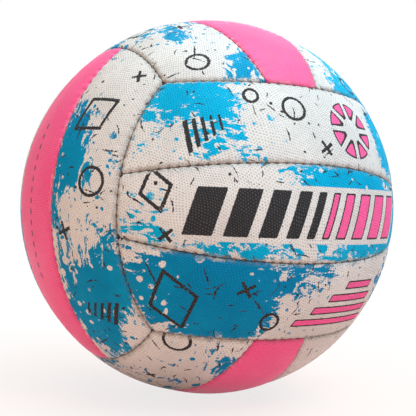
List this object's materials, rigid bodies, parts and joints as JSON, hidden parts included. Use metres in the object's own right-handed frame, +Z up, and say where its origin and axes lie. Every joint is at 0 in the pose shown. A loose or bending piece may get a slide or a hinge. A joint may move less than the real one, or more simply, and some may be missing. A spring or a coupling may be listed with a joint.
{
  "type": "netball",
  "caption": "Inflatable netball: a dimpled rubber cover of strip panels with rolled-in sewn edges, cloth linings, and a bladder with a needle valve.",
  "frame": {"origin": "centre of the ball", "axes": "+Z up in the picture, -Y out of the middle of the front face, +Y out through the valve"},
  "size_m": [0.2228, 0.2228, 0.2228],
  "materials": {
    "panel_print": "matte dimpled grip with a printed pattern",
    "panel_pink": "satin, fine pebbled grain",
    "lining": "woven cotton and polyester",
    "thread": "waxed thread",
    "bladder": "smooth",
    "valve_rubber": "smooth"
  },
  "bodies": {
    "ball": {"front_centre_panel": "panel_print", "front_upper_panel": "panel_print", "front_lower_panel": "panel_print", "back_centre_panel": "panel_print", "back_upper_panel": "panel_print", "back_lower_panel": "panel_print", "left_centre_panel": "panel_pink", "left_back_panel": "panel_print", "left_front_panel": "panel_print", "right_centre_panel": "panel_pink", "right_front_panel": "panel_print", "right_back_panel": "panel_print", "top_centre_panel": "panel_pink", "top_left_panel": "panel_print", "top_right_panel": "panel_print", "bottom_centre_panel": "panel_pink", "bottom_right_panel": "panel_print", "bottom_left_panel": "panel_print", "front_centre_lining": "lining", "front_upper_lining": "lining", "front_lower_lining": "lining", "back_centre_lining": "lining", "back_upper_lining": "lining", "back_lower_lining": "lining", "left_centre_lining": "lining", "left_back_lining": "lining", "left_front_lining": "lining", "right_centre_lining": "lining", "right_front_lining": "lining", "right_back_lining": "lining", "top_centre_lining": "lining", "top_left_lining": "lining", "top_right_lining": "lining", "bottom_centre_lining": "lining", "bottom_right_lining": "lining", "bottom_left_lining": "lining", "front_row_stitching": "thread", "front_left_stitching": "thread", "front_right_stitching": "thread", "back_row_stitching": "thread", "back_right_stitching": "thread", "back_left_stitching": "thread", "left_row_stitching": "thread", "left_bottom_stitching": "thread", "left_top_stitching": "thread", "right_row_stitching": "thread", "right_bottom_stitching": "thread", "right_top_stitching": "thread", "top_row_stitching": "thread", "top_front_stitching": "thread", "top_back_stitching": "thread", "bottom_row_stitching": "thread", "bottom_front_stitching": "thread", "bottom_back_stitching": "thread", "bladder": "bladder", "valve_body": "valve_rubber", "valve_patch": "valve_rubber"},
    "valve_plug": {"valve_plug": "valve_rubber"}
  },
  "joints": [
    {"name": "valve_plug_slide", "type": "slide", "parent": "ball", "child": "valve_plug", "axis": [0, 1, 0], "range_m": [0, 0.016]}
  ]
}
